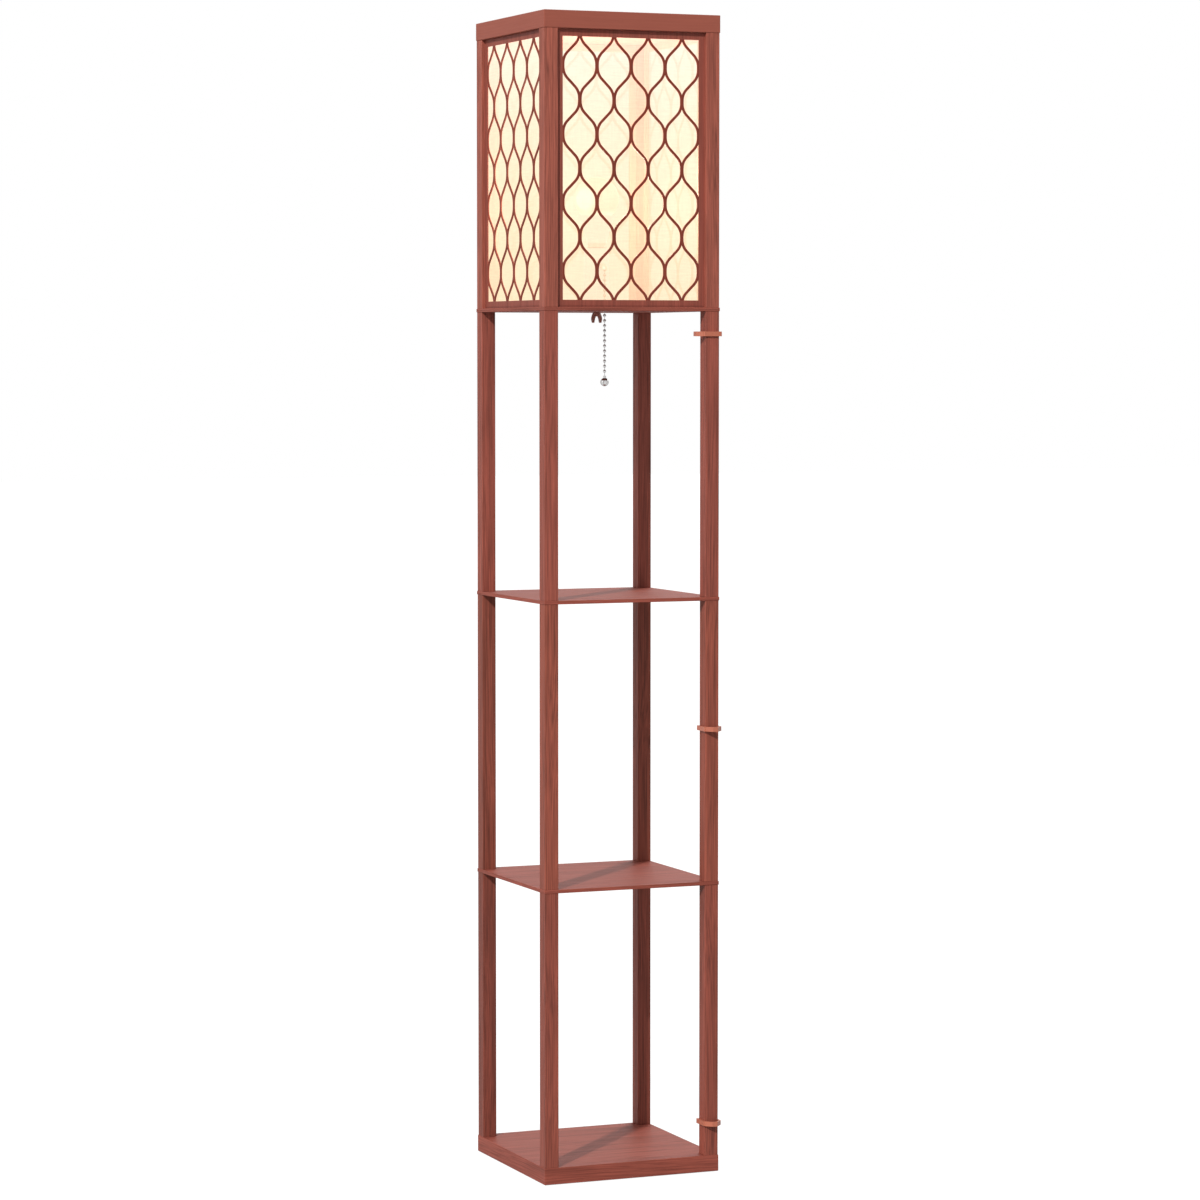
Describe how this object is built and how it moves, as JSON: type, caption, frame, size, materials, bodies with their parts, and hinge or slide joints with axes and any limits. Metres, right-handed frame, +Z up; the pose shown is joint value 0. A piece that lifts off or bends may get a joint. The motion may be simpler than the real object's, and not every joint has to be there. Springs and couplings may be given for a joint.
{
  "type": "shelf floor lamp",
  "caption": "Square tower floor lamp of stained wood with open shelves, a closed linen shade behind ogee lattice panels at its top, and a bead pull chain.",
  "frame": {"origin": "middle of the base board's square, on the floor. The cord clips stand out of that square at the front right, so the middle of the whole box lies 6 mm further front and 1 mm further right", "axes": "+X to the right along the front, +Y to the back, +Z up"},
  "size_m": [0.2623, 0.272, 1.6],
  "materials": {
    "stained_wood": "satin red-brown stain with a fine straight grain",
    "stained_board": "satin red-brown stain, nearly plain",
    "lattice_wood": "satin red-brown stain on thin board",
    "bare_wood": "unfinished",
    "linen": "cream slub weave, matte",
    "pad": "matte",
    "steel": "zinc plated",
    "nut_paint": "satin dark red-brown",
    "clip_plastic": "satin orange-brown",
    "dark_plastic": "moulded",
    "holder_plastic": "white moulded",
    "fibre": "matte",
    "brass": "plain",
    "chain_metal": "nickel plated, polished",
    "opal": "opal, softly glossy",
    "white_plastic": "moulded",
    "cap_metal": "plated, rolled thread"
  },
  "bodies": {
    "frame": {"base_board": "stained_wood", "lower_shelf": "stained_wood", "upper_shelf": "stained_wood", "lamp_shelf": "stained_wood", "post_1_front_left": "stained_wood", "post_1_front_right": "stained_wood", "post_1_back_left": "stained_wood", "post_1_back_right": "stained_wood", "post_2_front_left": "stained_wood", "post_2_front_right": "stained_wood", "post_2_back_left": "stained_wood", "post_2_back_right": "stained_wood", "post_3_front_left": "stained_wood", "post_3_front_right": "stained_wood", "post_3_back_left": "stained_wood", "post_3_back_right": "stained_wood", "post_4_front_left": "stained_wood", "post_4_front_right": "stained_wood", "post_4_back_left": "stained_wood", "post_4_back_right": "stained_wood", "lattice_front": "lattice_wood", "linen_front": "linen", "lattice_left": "lattice_wood", "linen_left": "linen", "lattice_back": "lattice_wood", "linen_back": "linen", "lattice_right": "lattice_wood", "linen_right": "linen", "backing_strips": "bare_wood", "foot_pads": "pad", "base_bolts": "steel", "shelf_studs": "steel", "panel_pins": "steel", "holder_stud": "steel", "lock_nut": "steel", "drum_axle": "steel", "return_spring": "steel", "wing_nut": "nut_paint", "cord_clip_upper": "clip_plastic", "cord_clip_middle": "clip_plastic", "cord_clip_lower": "clip_plastic", "cord_bush": "dark_plastic", "holder_cap": "holder_plastic", "holder_shell": "holder_plastic", "chain_mouth": "brass", "switch_block": "dark_plastic", "insulating_sleeve": "fibre", "screw_shell": "brass", "centre_contact": "brass"},
    "lid": {"top_board": "stained_board", "top_board_dowels": "bare_wood"},
    "bulb": {"bulb_globe": "opal", "bulb_housing": "white_plastic", "bulb_screw_cap": "cap_metal", "bulb_contact": "brass"},
    "pull_chain": {"chain_upper": "chain_metal"},
    "switch": {"switch_drum": "dark_plastic"},
    "chain_swing": {"chain_swing": "chain_metal"},
    "chain_end": {"chain_lower": "chain_metal", "end_ball": "chain_metal"}
  },
  "joints": [
    {"name": "lid_lift", "type": "slide", "parent": "frame", "child": "lid", "axis": [0, 0, 1], "range_m": [0, 0.06]},
    {"name": "bulb_lift", "type": "slide", "parent": "frame", "child": "bulb", "axis": [0, 0, 1], "range_m": [0, 0.03]},
    {"name": "chain_pull", "type": "slide", "parent": "frame", "child": "pull_chain", "axis": [0, 0, -1], "range_m": [0, 0.007], "stiffness_N_per_m": 200, "springref_m": -0.003},
    {"name": "switch_turn", "type": "hinge", "parent": "frame", "child": "switch", "pos_m": [0, -0.0086, 1.2494], "axis": [1, 0, 0], "range_deg": [0, 45]},
    {"name": "chain_swing", "type": "hinge", "parent": "pull_chain", "child": "chain_swing", "pos_m": [0, -0.029, 1.19], "axis": [1, 0, 0], "range_deg": [-35, 35]},
    {"name": "chain_end", "type": "hinge", "parent": "chain_swing", "child": "chain_end", "pos_m": [0, -0.029, 1.155], "axis": [0, 1, 0], "range_deg": [-35, 35]}
  ],
  "couplings": [
    {"joint": "switch_turn", "follows": "chain_pull", "rad_per_m": 112.1}
  ]
}
